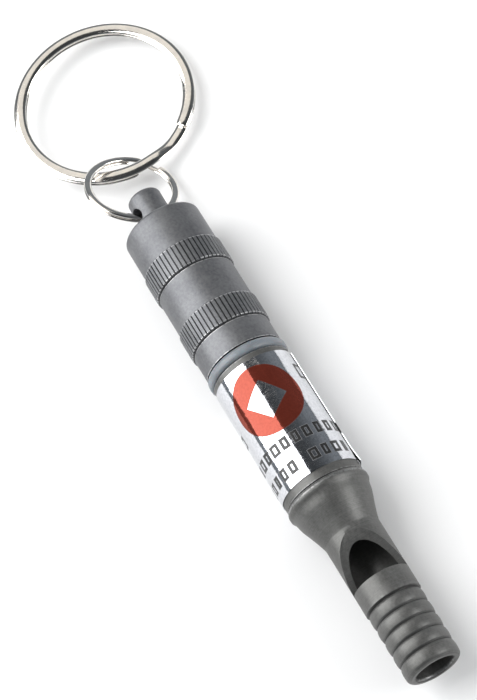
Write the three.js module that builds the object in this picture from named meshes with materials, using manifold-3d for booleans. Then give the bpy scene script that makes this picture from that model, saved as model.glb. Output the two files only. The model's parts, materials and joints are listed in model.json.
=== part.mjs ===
// Emergency capsule whistle on a key chain, in millimetres, +Z up, +X towards the mouthpiece.
// A turned aluminium cap unscrews from a capsule tube that holds a rolled slip; the tube carries a whistle.
// A small split ring hangs in the cap's post and a large split ring hangs in the small one.
// The whistle lies on its side with its window up. The origin is the bottom centre of the whole box.
import * as THREE from "three";
import { mergeVertices } from "three/addons/utils/BufferGeometryUtils.js";
import Module from "manifold-3d";

const wasm = await Module();
wasm.setup();

const { degToRad } = THREE.MathUtils;

// Clearances
const gap = 0.12; // between two faces that rest on each other
const threadPlay = 0.2; // radial play of the cap's thread
const ringPlay = 0.1; // between the two coils of a split ring
const linkHolePlay = 0.58; // round the link ring's doubled wire, in the post's hole
const slipPlay = 0.3; // radial, round the rolled slip
const edgeBreak = 0.2; // small bevel on a turned edge

// Cap
const capDiameter = 13.9;
const capLength = 29.8;
const capWall = 1.4; // above the thread
const capThreadWall = 1.05; // outside the thread's mean radius
const capRoof = 2.6;
const capEdgeRound = 0.7;
const postDiameter = 6.0;
const postLength = 7.05;
const postRound = 0.7;
const bandCount = 2;
const bandUpperLand = 7.9; // plain barrel between the shoulder and the first knurled band
const bandLowerLand = 4.75; // plain barrel between the last band and the open edge
const bandWidth = 4.7;
const bandHeight = 0.3;
const bandChamfer = 0.35;
const bandRoot = 0.5; // how deep a band is rooted in the barrel
const bandFoot = 0.02; // how far below the barrel's surface its flank starts
const knurlCount = 56;
const knurlDepth = 0.22;

// Thread between cap and tube
const pitch = 1.25;
const threadTurns = 3.5;
const threadDepth = 0.44;
const threadFade = 0.25; // turns over which the thread rises at each end
const entryRelief = 0.05; // radial, between the thread and the cap's plain entry
const neckLength = 7.0;
const neckWall = 1.1; // inside the thread's mean radius

// Seal ring between cap and tube
const sealWidth = 1.9;
const sealProud = 0.275; // radial, outside the cap
const sealSeatDepth = 0.3; // radial, below the tube thread's mean radius

// Capsule tube and its label
const tubeInset = 0.03; // radial, inside the cap's diameter
const tubeLength = 24.9;
const topRim = 1.1; // bare tube above the label
const bottomRim = 1.5; // bare tube below the label
const labelThickness = 0.1;
const labelGap = 0.05;
const labelOverlap = degToRad(16);
const labelLift = 0.22; // how far the lapped edge stands off
const labelSeamAngle = degToRad(100); // from the top towards +Y, about the whistle's axis

// Rolled slip inside the capsule
const slipLength = 38;
const slipThickness = 0.3;
const slipTurns = 1.35;

// Whistle
const spigotLength = 4.2;
const socketWall = 1.0; // tube's wall round the spigot
const spigotSealWidth = 1.3;
const spigotSealDepth = 0.9;
const spigotSealPlay = 0.08; // on each side, in the spigot's groove
const shoulderProud = 0.28; // radial, outside the tube
const shoulderRise = 0.5; // axial length over which the joint swells to the shoulder
const shoulderLand = 0.6;
const shoulderTaper = 0.05; // radial, across the shoulder's land
const shoulderRound = [0.6, 0.3]; // axial and radial size of the shoulder's rounded corner
const funnelLength = 7.1;
const funnelRound = [0.4, 0.12]; // axial and radial size of the blend into the neck
const whistleDiameter = 9.7;
const whistleLength = 33.6; // joint to mouth
const whistleBore = 6.6; // from the mouth to the window
const chamberBore = 7.7;
const chamberFloor = 5.2; // joint to the closed end of the chamber
const neckLand = 0.8; // funnel to the tip of the window's ramp
const windowLength = 8.3;
const windowDepth = 4.55; // below the whistle's top, at the square wall
const ribLand = 4.0; // window's square wall to the first groove
const ribCount = 5; // grooves, and ribs after them
const ribDepth = 0.35;
const ribCrest = 0.12; // radial, below the neck
const ribShape = [[0.25, 0.02], [0.6, 0], [0.85, 0.08]]; // share of the spacing, drop below the crest
const lipLand = 0.3; // last rib to the mouth
const lipRound = 0.8;
const lipStep = 0.15; // radial, between the neck and the lip
const mouthBevel = 0.3;

// Windway plug
const plugRecess = 4.3; // mouth to the plug
const windwayHeight = 1.15;

// Split rings: two coils of flat wire each
const linkRingDiameter = 16.5;
const linkWireWidth = 1.25;
const linkWireHeight = 0.6;
const linkHoleInset = 3.7; // post tip to hole
const holeRoll = degToRad(31); // the hole's +Y end points down by this
const linkDroop = degToRad(10);
const linkSag = 0.35; // how far the link ring hangs below the hole's axis
const linkEndAngle = degToRad(68); // where the coil on the post's upper side ends
const linkHand = 1; // which way the coils climb
const keyRingDiameter = 32.7;
const keyWireWidth = 2.2;
const keyWireHeight = 0.75;
const hookInset = 3.3; // how far inside the link ring's mean circle the key ring passes through it
const hookSide = 3.4; // that point's place along the hole's axis
const hookAngle = degToRad(-5); // that point's place round the key ring, from +X
const keyRingPitch = degToRad(0);
const keyRingRoll = degToRad(-4.5);
const keyEndAngle = degToRad(38); // where the upper coil ends
const keyHand = -1;
const climbShare = 0.06; // share of a turn in which a split ring's wire changes layer
const wireCorner = 0.3; // corner of the wire's section, as a share of its height

// Smoothness
const facets = 36;
const sealFacets = 8;
const holeFacets = 20;
const plugFacets = 24;
const slipSteps = 40;
const arcSteps = 4;
const samplesPerPitch = 5;
const coilSteps = 84;
const same = 1e-3; // two radii closer than this are the same

// Radii that follow from the sizes above
const capRadius = capDiameter / 2;
const capThreadRadius = capRadius - capThreadWall;
const neckRadius = capThreadRadius - threadPlay;
const sealSeatRadius = neckRadius - sealSeatDepth;
const tubeRadius = capRadius - tubeInset;
const tubeBoreRadius = neckRadius - neckWall;
const spigotRadius = tubeRadius - socketWall - gap;
const shoulderRadius = tubeRadius + shoulderProud;
const whistleRadius = whistleDiameter / 2;
const boreRadius = whistleBore / 2;
const chamberRadius = chamberBore / 2;
const linkMean = (linkRingDiameter - linkWireWidth) / 2;
const keyMean = (keyRingDiameter - keyWireWidth) / 2;
const linkBow = linkMean - Math.sqrt(linkMean ** 2 - (postDiameter / 2) ** 2); // inside the post
const linkBundle = Math.hypot(linkWireWidth, 2 * linkWireHeight + ringPlay);
const linkHoleRadius = (linkBundle + linkBow + linkHolePlay) / 2;

// Stations along the whistle, from the post's tip
const capStart = postLength;
const capEnd = capStart + capLength;
const neckStart = capEnd - neckLength; // the tube's open end, inside the cap
const threadStart = neckStart + (neckLength - threadTurns * pitch) / 2;
const threadEnd = threadStart + threadTurns * pitch;
const tubeStart = capEnd + sealWidth + 2 * gap;
const tubeEnd = tubeStart + tubeLength;
const whistleStart = tubeEnd + gap;
const funnelStart = whistleStart + shoulderRise + shoulderLand;
const funnelEnd = funnelStart + funnelLength;
const windowStart = funnelEnd + neckLand;
const windowEnd = windowStart + windowLength;
const ribStart = windowEnd + ribLand;
const mouth = whistleStart + whistleLength;

const metals = { roughness: 0.45, metalness: 1 };
const material = (color, settings) => new THREE.MeshStandardMaterial({ color, ...settings });
const capMetal = material(0x8b8e92, metals);
const whistleMetal = material(0x8f908c, metals);
const nickel = material(0xd9d6cf, { roughness: 0.15, metalness: 1 });
const silicone = material(0x8796a0, { roughness: 0.6, metalness: 0 });
const foil = material(0xc8ccd2, { roughness: 0.12, metalness: 1 });
const paper = material(0xeeeae0, { roughness: 0.9, metalness: 0 });
const plastic = material(0x1c1c1e, { roughness: 0.5, metalness: 0 });

const named = (name, geometry, look) => {
  const mesh = new THREE.Mesh(geometry, look);
  mesh.name = name;
  return mesh;
};

// An outline of [x, r] points turned about the X axis; shape(x, r, angle) may move each point in or out.
function turned(outline, { segments = facets, shape = (x, r) => r } = {}) {
  const points = outline.map(([x, r]) => new THREE.Vector2(r, x));
  const geometry = new THREE.LatheGeometry(points, segments, Math.PI / segments);
  geometry.rotateZ(-Math.PI / 2);
  const position = geometry.getAttribute("position");
  for (let i = 0; i < position.count; i++) {
    const [x, y, z] = [position.getX(i), position.getY(i), position.getZ(i)];
    const radius = Math.hypot(y, z);
    const scale = radius > 0 ? shape(x, radius, Math.atan2(y, z)) / radius : 1;
    position.setXYZ(i, x, y * scale, z * scale);
  }
  return geometry;
}

// A closed outline repeats its first point.
const ring = (outline, options) => turned([...outline, outline[0]], options);

// Points of an arc about [cx, cr], from one angle to another in degrees, 0 along +X and 90 outwards.
function arc(cx, cr, radius, from, to) {
  return Array.from({ length: arcSteps + 1 }, (_, i) => {
    const angle = degToRad(from + ((to - from) * i) / arcSteps);
    return [cx + radius * Math.cos(angle), cr + radius * Math.sin(angle)];
  });
}

const toSolid = (geometry) => {
  const bare = geometry.clone();
  bare.deleteAttribute("normal");
  bare.deleteAttribute("uv");
  const merged = mergeVertices(bare, 1e-4);
  const vertProperties = new Float32Array(merged.getAttribute("position").array);
  const triVerts = new Uint32Array(merged.index.array);
  return new wasm.Manifold(new wasm.Mesh({ numProp: 3, vertProperties, triVerts }));
};

const toGeometry = (solid) => {
  const mesh = solid.getMesh();
  const geometry = new THREE.BufferGeometry();
  geometry.setAttribute("position", new THREE.BufferAttribute(mesh.vertProperties, 3));
  geometry.setIndex(new THREE.BufferAttribute(mesh.triVerts, 1));
  return geometry;
};

// The thread's wave about its mean radius, fading in and out at its ends.
function threadWave(x, angle) {
  const along = (x - threadStart) / pitch;
  const fade = Math.min(1, along / threadFade, (threadTurns - along) / threadFade);
  return fade > 0 ? (fade * threadDepth * Math.cos(2 * Math.PI * along + angle)) / 2 : 0;
}

// Rows of the threaded stretch at one mean radius, from the neck's end to the seal
function threadRows(radius) {
  const rows = Math.round(threadTurns * samplesPerPitch);
  return Array.from({ length: rows + 1 }, (_, i) => [threadStart + (threadTurns * pitch * i) / rows, radius]);
}

const threadedAt = (radius) => (x, r, angle) =>
  Math.abs(r - radius) < same ? r + threadWave(x, angle) : r;

// Cap: post with a cross hole, closed roof, straight barrel, knurled bands, thread near its open edge
function makeCap() {
  const post = postDiameter / 2;
  const cavity = capRadius - capWall;
  const cavityEnd = neckStart - 2 * gap;
  const entry = capThreadRadius + threadDepth / 2 + entryRelief;
  const outline = [
    [0, 0],
    ...arc(postRound, post - postRound, postRound, 180, 90),
    [capStart, post],
    ...arc(capStart + capEdgeRound, capRadius - capEdgeRound, capEdgeRound, 180, 90),
    [capEnd - edgeBreak, capRadius],
    [capEnd, capRadius - edgeBreak],
    [capEnd, entry],
    [threadEnd + gap, entry],
    ...threadRows(capThreadRadius).reverse(),
    [cavityEnd, capThreadRadius],
    [cavityEnd - Math.abs(capThreadRadius - cavity), cavity],
    [capStart + capRoof, cavity],
    [capStart + capRoof, 0],
  ];
  let solid = toSolid(turned(outline, { shape: threadedAt(capThreadRadius) }));
  const bandSpacing = (capLength - bandUpperLand - bandLowerLand - bandWidth) / (bandCount - 1);
  for (let i = 0; i < bandCount; i++) {
    solid = solid.add(toSolid(knurledBand(capStart + bandUpperLand + i * bandSpacing)));
  }
  const hole = new THREE.CylinderGeometry(linkHoleRadius, linkHoleRadius, 2 * postDiameter, holeFacets);
  hole.rotateX(-holeRoll).translate(linkHoleInset, 0, 0);
  return toGeometry(solid.subtract(toSolid(hole)));
}

// A raised ring with straight grooves along it, rooted in the barrel
function knurledBand(start) {
  const base = capRadius - bandRoot;
  const foot = capRadius - bandFoot;
  const top = capRadius + bandHeight;
  const outline = [
    [start, base],
    [start, foot],
    [start + bandChamfer, top],
    [start + bandWidth - bandChamfer, top],
    [start + bandWidth, foot],
    [start + bandWidth, base],
  ];
  const shape = (x, r, angle) => {
    const groove = Math.round((angle * knurlCount) / Math.PI - 0.5) % 2 === 0;
    return groove && r > top - same ? r - knurlDepth : r;
  };
  return ring(outline, { segments: 2 * knurlCount, shape });
}

// Seal ring, pressed a little flat between the cap's edge and the tube
function makeCapSeal() {
  const middle = capEnd + gap + sealWidth / 2;
  const inner = sealSeatRadius + gap;
  const depth = capRadius + sealProud - inner;
  return ring(roundedSection(middle, inner + depth / 2, sealWidth / 2, depth / 2));
}

// Section of a rubber ring: [x, r] points whose outline runs outwards and fills the given half sizes
function roundedSection(x, r, halfWidth, halfDepth) {
  const stretch = 1 / Math.cos(Math.PI / sealFacets);
  return Array.from({ length: sealFacets }, (_, i) => {
    const angle = Math.PI - (2 * Math.PI * (i + 0.5)) / sealFacets;
    return [x + halfWidth * stretch * Math.cos(angle), r + halfDepth * stretch * Math.sin(angle)];
  });
}

// Capsule tube: threaded neck, seat for the seal, straight barrel, socket for the whistle's spigot
function makeTube() {
  const neckTop = neckRadius - threadDepth / 2;
  const socket = spigotRadius + gap;
  const socketFloor = whistleStart - spigotLength - gap;
  const outline = [
    [neckStart, tubeBoreRadius],
    [neckStart, neckTop - edgeBreak],
    [neckStart + edgeBreak, neckTop],
    [threadStart - gap, neckTop],
    ...threadRows(neckRadius),
    [threadEnd + gap, sealSeatRadius],
    [tubeStart, sealSeatRadius],
    [tubeStart, tubeRadius - edgeBreak],
    [tubeStart + edgeBreak, tubeRadius],
    [tubeEnd, tubeRadius],
    [tubeEnd, socket],
    [socketFloor, socket],
    [socketFloor, tubeBoreRadius],
  ];
  return ring(outline, { shape: threadedAt(neckRadius) });
}

// Foil label: one wrap whose outer end laps over its start and stands off a little
function makeLabel() {
  const inner = tubeRadius + labelGap;
  const wrap = 2 * Math.PI + labelOverlap;
  const lift = (turn) => {
    const lap = (turn - 2 * Math.PI + labelOverlap) / labelOverlap;
    return lap > 0 ? (labelThickness + labelGap) * Math.min(1, lap) + labelLift * Math.max(0, lap - 1) : 0;
  };
  const side = (offset) => coil(facets, wrap, (turn) => inner + offset + lift(turn));
  const shape = new THREE.Shape([...side(labelThickness), ...side(0).reverse()]);
  const length = tubeLength - topRim - bottomRim;
  const geometry = new THREE.ExtrudeGeometry(shape, { depth: length, bevelEnabled: false });
  // The shape's X axis turns to the seam's direction and its Z axis to +X.
  const seam = new THREE.Vector3(0, Math.sin(labelSeamAngle), Math.cos(labelSeamAngle));
  const along = new THREE.Vector3(1, 0, 0);
  geometry.applyMatrix4(new THREE.Matrix4().makeBasis(seam, along.clone().cross(seam), along));
  return geometry.translate(tubeStart + topRim, 0, 0);
}

// Points of a flat coil whose radius may change along its turn
function coil(steps, wrap, radiusAt) {
  return Array.from({ length: steps + 1 }, (_, i) => {
    const turn = (wrap * i) / steps;
    return new THREE.Vector2(Math.cos(turn), Math.sin(turn)).multiplyScalar(radiusAt(turn));
  });
}

// Rolled slip: a spiral strip that springs against the capsule's bore
function makeSlip() {
  const outer = tubeBoreRadius - slipPlay;
  const drop = (slipThickness + gap) / (2 * Math.PI);
  const side = (offset) => coil(slipSteps, 2 * Math.PI * slipTurns, (turn) => outer - offset - drop * turn);
  const shape = new THREE.Shape([...side(0), ...side(slipThickness).reverse()]);
  const geometry = new THREE.ExtrudeGeometry(shape, { depth: slipLength, bevelEnabled: false });
  const slipEnd = whistleStart - spigotLength - 2 * gap;
  return geometry.rotateY(Math.PI / 2).translate(slipEnd - slipLength, 0, 0);
}

// Whistle: spigot, shoulder, funnel, neck with an oblique window, ribbed mouthpiece with a rounded lip
function makeWhistle() {
  const spigotStart = whistleStart - spigotLength;
  const grooveStart = whistleStart - (spigotLength + spigotSealWidth) / 2;
  const grooveEnd = grooveStart + spigotSealWidth;
  const lipRadius = whistleRadius - lipStep;
  const lip = Math.min(lipRound, lipRadius - boreRadius - mouthBevel);
  const outline = [
    [spigotStart, 0],
    [spigotStart, spigotRadius - edgeBreak],
    [spigotStart + edgeBreak, spigotRadius],
    [grooveStart, spigotRadius],
    [grooveStart, spigotRadius - spigotSealDepth],
    [grooveEnd, spigotRadius - spigotSealDepth],
    [grooveEnd, spigotRadius],
    [whistleStart, spigotRadius],
    [whistleStart, tubeRadius + labelThickness / 2],
    [whistleStart + shoulderRise, shoulderRadius],
    [funnelStart, shoulderRadius - shoulderTaper],
    [funnelStart + shoulderRound[0], shoulderRadius - shoulderRound[1]],
    [funnelEnd - funnelRound[0], whistleRadius + funnelRound[1]],
    [funnelEnd, whistleRadius],
    [ribStart - edgeBreak, whistleRadius],
    ...ribRows(),
    ...arc(mouth - lip, lipRadius - lip, lip, 90, 0),
    [mouth, boreRadius + mouthBevel],
    [mouth - mouthBevel, boreRadius],
    [windowEnd, boreRadius],
    [windowEnd - Math.abs(chamberRadius - boreRadius), chamberRadius],
    [whistleStart + chamberFloor + chamberRadius / 2, chamberRadius],
    [whistleStart + chamberFloor, chamberRadius / 2],
    [whistleStart + chamberFloor, 0],
  ];
  return toGeometry(toSolid(turned(outline)).subtract(toSolid(windowCutter())));
}

// A groove, then a rounded rib, again and again; the last rib runs on into the lip
function ribRows() {
  const spacing = (mouth - lipLand - ribStart) / ribCount;
  const crest = whistleRadius - ribCrest;
  const rows = Array.from({ length: ribCount }, (_, i) => {
    const groove = ribStart + i * spacing;
    const rib = ribShape.map(([share, drop]) => [groove + share * spacing, crest - drop]);
    return [[groove, whistleRadius - ribDepth], ...rib];
  });
  return rows.flat().slice(0, -1);
}

// The window's wedge: a ramp down from the top of the neck to a square wall
function windowCutter() {
  const slope = windowDepth / windowLength;
  const over = windowDepth / 2; // how far the wedge stands above the neck
  const side = new THREE.Shape([
    new THREE.Vector2(windowStart - over / slope, whistleRadius + over),
    new THREE.Vector2(windowEnd, whistleRadius - windowDepth),
    new THREE.Vector2(windowEnd, whistleRadius + over),
  ]);
  const width = 2 * whistleDiameter;
  const wedge = new THREE.ExtrudeGeometry(side, { depth: width, bevelEnabled: false });
  return wedge.rotateX(Math.PI / 2).translate(0, width / 2, 0);
}

// Seal in the spigot's groove, hidden inside the tube
function makeSpigotSeal() {
  const outer = spigotRadius;
  const inner = spigotRadius - spigotSealDepth + spigotSealPlay;
  const halfWidth = spigotSealWidth / 2 - spigotSealPlay;
  const middle = whistleStart - spigotLength / 2;
  return ring(roundedSection(middle, (inner + outer) / 2, halfWidth, (outer - inner) / 2));
}

// Plug that leaves a flat windway along the top of the bore
function makePlug() {
  const radius = boreRadius - gap;
  const flat = boreRadius - windwayHeight;
  const start = windowEnd + gap;
  const end = mouth - plugRecess;
  const edge = Math.asin(flat / radius);
  const points = Array.from({ length: plugFacets + 1 }, (_, i) => {
    const angle = edge - ((Math.PI + 2 * edge) * i) / plugFacets;
    return new THREE.Vector2(radius * Math.cos(angle), radius * Math.sin(angle));
  });
  const shape = new THREE.Shape(points.reverse());
  const geometry = new THREE.ExtrudeGeometry(shape, { depth: end - start, bevelEnabled: false });
  // The shape's X axis becomes +Y, its Y axis +Z and its Z axis +X.
  const toX = new THREE.Vector3(1, 0, 0);
  const toY = new THREE.Vector3(0, 1, 0);
  const toZ = new THREE.Vector3(0, 0, 1);
  geometry.applyMatrix4(new THREE.Matrix4().makeBasis(toY, toZ, toX));
  return geometry.translate(start, 0, 0);
}

// Centre of the wire of two coils about +Z; it changes layer just before it has gone round once.
function coilPoint(t, radius, layerStep, endAngle) {
  const turn = t * (2 - 2 * climbShare);
  const climbed = THREE.MathUtils.smoothstep(turn, 1 - 1.5 * climbShare, 1 - 0.5 * climbShare);
  const angle = endAngle + 2 * Math.PI * turn;
  return new THREE.Vector3(radius * Math.cos(angle), radius * Math.sin(angle), layerStep * (climbed - 0.5));
}

// The wire's section: a rectangle with cut corners whose first coordinate lies along the ring's radius
function wireSection(wireWidth, wireHeight) {
  const [w, h] = [wireWidth / 2, wireHeight / 2];
  const corner = wireCorner * wireHeight;
  return [
    [-w, h - corner],
    [corner - w, h],
    [w - corner, h],
    [w, h - corner],
    [w, corner - h],
    [w - corner, -h],
    [corner - w, -h],
    [-w, corner - h],
  ];
}

function makeSplitRing(mean, wireWidth, wireHeight, endAngle, hand) {
  const section = wireSection(wireWidth, wireHeight);
  const layerStep = hand * (wireHeight + ringPlay);
  const rows = Array.from({ length: coilSteps + 1 }, (_, i) => {
    const centre = coilPoint(i / coilSteps, mean, layerStep, endAngle);
    const outwards = new THREE.Vector3(centre.x, centre.y, 0).normalize();
    const at = ([a, b]) => centre.clone().addScaledVector(outwards, a).setZ(centre.z + b);
    return section.map(at);
  });
  return sweep(rows);
}

// A closed skin over rows of equal outlines, with flat ends
function sweep(rows) {
  const count = rows[0].length;
  const index = [];
  for (let i = 0; i + 1 < rows.length; i++) {
    for (let j = 0; j < count; j++) {
      const [a, b] = [i * count + j, i * count + ((j + 1) % count)];
      index.push(a, b, a + count, b, b + count, a + count);
    }
  }
  const last = (rows.length - 1) * count;
  for (let j = 1; j + 1 < count; j++) {
    index.push(0, j + 1, j, last, last + j, last + j + 1);
  }
  const geometry = new THREE.BufferGeometry().setFromPoints(rows.flat());
  geometry.setIndex(index);
  return geometry;
}

// Frame of the link ring: its X axis droops away from the post and its Y axis lies along the hole.
function linkRingFrame() {
  const holeAxis = new THREE.Vector3(0, Math.cos(holeRoll), -Math.sin(holeRoll));
  const down = new THREE.Vector3(0, -Math.sin(holeRoll), -Math.cos(holeRoll));
  const away = new THREE.Vector3(-Math.cos(linkDroop), 0, 0).addScaledVector(down, Math.sin(linkDroop));
  const normal = away.clone().cross(holeAxis);
  const centre = new THREE.Vector3(linkHoleInset, 0, 0);
  centre.addScaledVector(away, linkMean - linkBow / 2).addScaledVector(normal, linkSag);
  return new THREE.Matrix4().makeBasis(away, holeAxis, normal).setPosition(centre);
}

// Frame of the key ring: one point of its mean circle lies in the link ring's plane, inside that ring.
function keyRingFrame() {
  const frame = new THREE.Matrix4().makeRotationFromEuler(new THREE.Euler(keyRingRoll, -keyRingPitch, 0));
  const hook = new THREE.Vector3(linkMean - hookInset, hookSide, 0).applyMatrix4(linkRingFrame());
  const toHook = new THREE.Vector3(Math.cos(hookAngle), Math.sin(hookAngle), 0).applyMatrix4(frame);
  return frame.setPosition(hook.addScaledVector(toHook, -keyMean));
}

const linkRing = makeSplitRing(linkMean, linkWireWidth, linkWireHeight, linkEndAngle, linkHand);
const keyRing = makeSplitRing(keyMean, keyWireWidth, keyWireHeight, keyEndAngle, keyHand);

const assembly = new THREE.Group();
assembly.add(
  named("cap", makeCap(), capMetal),
  named("cap_seal", makeCapSeal(), silicone),
  named("capsule_tube", makeTube(), whistleMetal),
  named("foil_label", makeLabel(), foil),
  named("id_slip", makeSlip(), paper),
  named("whistle_body", makeWhistle(), whistleMetal),
  named("spigot_seal", makeSpigotSeal(), silicone),
  named("windway_plug", makePlug(), plastic),
  named("link_ring", linkRing.applyMatrix4(linkRingFrame()), nickel),
  named("key_ring", keyRing.applyMatrix4(keyRingFrame()), nickel),
);

// The assembly moves so that the bottom centre of its box is the origin.
const box = new THREE.Box3().setFromObject(assembly, true);
const middle = box.getCenter(new THREE.Vector3());
assembly.position.set(-middle.x, -middle.y, -box.min.z);

const root = new THREE.Group();
root.add(assembly);
export default root;
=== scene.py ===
"""Capsule whistle on a key chain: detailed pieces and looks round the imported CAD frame, in metres."""

import json
import math

import bmesh
import bpy
from mathutils import Matrix, Vector


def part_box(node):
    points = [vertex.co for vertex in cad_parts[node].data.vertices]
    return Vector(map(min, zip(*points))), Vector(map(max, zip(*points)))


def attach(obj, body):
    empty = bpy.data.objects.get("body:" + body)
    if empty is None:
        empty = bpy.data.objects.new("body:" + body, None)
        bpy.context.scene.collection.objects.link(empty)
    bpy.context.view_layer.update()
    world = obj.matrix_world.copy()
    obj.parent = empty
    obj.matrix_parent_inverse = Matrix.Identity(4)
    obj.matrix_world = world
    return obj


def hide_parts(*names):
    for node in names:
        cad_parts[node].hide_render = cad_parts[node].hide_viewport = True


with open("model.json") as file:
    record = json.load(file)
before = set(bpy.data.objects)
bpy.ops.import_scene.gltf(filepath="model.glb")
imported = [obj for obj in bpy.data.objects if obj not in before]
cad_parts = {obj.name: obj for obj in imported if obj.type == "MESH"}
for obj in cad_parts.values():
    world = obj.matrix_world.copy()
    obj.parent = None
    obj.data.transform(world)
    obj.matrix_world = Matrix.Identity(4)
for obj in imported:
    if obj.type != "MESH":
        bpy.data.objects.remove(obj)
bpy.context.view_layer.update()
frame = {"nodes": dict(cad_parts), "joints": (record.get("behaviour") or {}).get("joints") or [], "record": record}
record = frame["record"]

MM = 0.001

# Clearances, in millimetres as all sizes down to the rings
GAP = 0.12
THREAD_PLAY = 0.2
RING_PLAY = 0.1
EDGE_BREAK = 0.2
CRISP_EDGE = 0.12
DEEP = 0.1  # a point pressed in further than this gets painted shade
ON_AXIS = 1e-6
SAME_RADIUS = 1e-3

# Cap
CAP_RADIUS = 6.95
CAP_WALL = 1.4
CAP_THREAD_WALL = 1.05
CAP_ROOF = 2.6
CAP_EDGE_ROUND = 0.7
CAP_EDGE = 0.09
CAP_INNER_EDGE = 0.15
CAP_ENTRY_PLAY = 0.05  # between the thread and the bore in front of it
CAP_ENTRY_MARGIN = 0.2  # painted shade lies outside this distance from that bore
POST_RADIUS = 3.0
POST_LENGTH = 7.05
POST_ROUND = 0.7
HOLE_RADIUS = 1.5
HOLE_LIP = 0.25
HOLE_SEGMENTS = 40
BAND_UPPER_LAND = 7.9
BAND_SPACING = 12.45
BAND_WIDTH = 4.7
BAND_HEIGHT = 0.3
BAND_CHAMFER = 0.2
UNDERCUT = 0.11  # of the narrow turned line on each band's mouth side
KNURLS = 56
KNURL_DEPTH = 0.2
KNURL_RUN_IN = 0.04  # height above the barrel at which the grooves start
KNURL_FLOOR = 0.02  # least height of a groove above the barrel
SHARE_SLACK = 1e-6
KNURL_STEPS = (0.0, 0.17, 0.34, 0.40, 0.5, 0.60, 0.66, 0.83)  # shares of one knurl at which the skin is cut
KNURL_GROOVE = (0.40, 0.60)  # the groove's floor, as shares of one knurl

# Thread, neck and seal
PITCH = 1.25
THREAD_TURNS = 3.5
THREAD_DEPTH = 0.44
THREAD_FADE = 0.25
THREAD_SAMPLES = 12
NECK_WALL = 1.1
SEAL_SEAT_DEPTH = 0.3
SEAL_PROUD = 0.275
SEAL_SEGMENTS = 40
SEAL_FLATNESS = 0.7  # 1 for round sides, less for flatter ones
SEAL_BULGE = 0.8
SEAL_SHARP = 60.0
NECK_LENGTH = 7.0

# Tube and label
TUBE_RADIUS = 6.92
SOCKET_WALL = 1.0
LABEL_THICKNESS = 0.1
LABEL_GAP = 0.05
LABEL_OVERLAP = math.radians(16)
LABEL_SEAM = math.radians(100)
LABEL_LIFT = 0.26
LABEL_CORNER = 3.2  # length of the label's loose corner
LABEL_EDGE_LIFT = 0.15  # share of the lift that the rest of the edge has
LABEL_CURL_POWER = 1.5
LABEL_STEPS = 300
LABEL_ROWS = 36

# Whistle
SPIGOT_LENGTH = 4.2
SPIGOT_GROOVE_WIDTH = 1.3
SPIGOT_GROOVE_DEPTH = 0.9
SHOULDER_PROUD = 0.28
SHOULDER_RISE = 0.5
SHOULDER_LAND = 0.6
SHOULDER_TAPER = 0.05
FUNNEL_LENGTH = 7.1
FUNNEL_DROPS = ((0.0, 0.08), (0.09, 0.38))  # share of the length, depth below the shoulder
FUNNEL_RISES = ((0.3, 1.62), (0.6, 0.86), (0.85, 0.29), (1.0, 0.0))  # share, height above the neck
FUNNEL_STEPS = 28
FUNNEL_RUN_OUT = 0.15
NECK_RADIUS = 4.85
BORE_RADIUS = 3.3
CHAMBER_RADIUS = 3.85
CHAMBER_FLOOR = 5.2
NECK_LAND = 0.8
WINDOW_LENGTH = 8.3
WINDOW_DEPTH = 4.55
WINDOW_CLEAR = 0.3  # first plain row beyond the window
RIB_LAND = 4.0
RIB_COUNT = 5
RIB_DEPTH = 0.46
RIB_CREST = 0.12
RIB_APPROACH = 0.7  # plain rows before the first groove
RIB_EDGE = 0.25
# The edge before the first rib groove gets this much edge wear with a painted highlight.
RIB_EDGE_WEAR_AND_HIGHLIGHT = 0.3
GROOVE_SHAPE = ((-0.07, 0.04, -0.6), (0.0, 0.0, -1.0), (0.05, 0.0, -0.9))  # place, height, painted shade (negative)
RIB_SHAPE = ((0.09, 0.16), (0.2, 0.06), (0.4, 0.0), (0.6, 0.0), (0.76, 0.04), (0.88, 0.1))  # share, drop
LAST_RIB_POINTS = 4
LIP_LAND = 0.3
LIP_ROUND = 0.8
LIP_STEP = 0.15
MOUTH_CHAMFER = 0.3
WINDWAY_HEIGHT = 1.15
PLUG_EDGE = 0.15
PLUG_STEPS = 64

# Rings
LINK_MEAN = (16.5 - 1.25) / 2
LINK_WIRE = (1.25, 0.6)
LINK_DROOP = math.radians(10)
LINK_SAG = 0.35
LINK_END = math.radians(68)
LINK_HAND = 1
KEY_MEAN = (32.7 - 2.2) / 2
KEY_WIRE = (2.2, 0.75)
KEY_ROLL = math.radians(-4.5)
KEY_END = math.radians(38)
KEY_HAND = -1
CLIMB = 0.06  # share of a turn in which the wire changes layer
CLIMB_LEAD = 1.5  # the change starts this many climbs before the first turn ends
END_TAPER = 0.86
WIRE_SQUARENESS = 0.95  # 1 for an oval section, less for a squarer one

SEGMENTS = 192
COIL_STEPS = 420

# Rounding of a profile's corners
CORNER_REACH = 0.45  # most of a side that one corner may take
SUPPORT_REACH = 0.48  # most of a side before its supporting point
CORNER_SHARES = (0.0, 0.33, 0.67, 1.0)


def ends(node):
    """First and last station of a CAD node along the whistle, in millimetres."""
    low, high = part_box(node)
    return low.x / MM, high.x / MM


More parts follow.
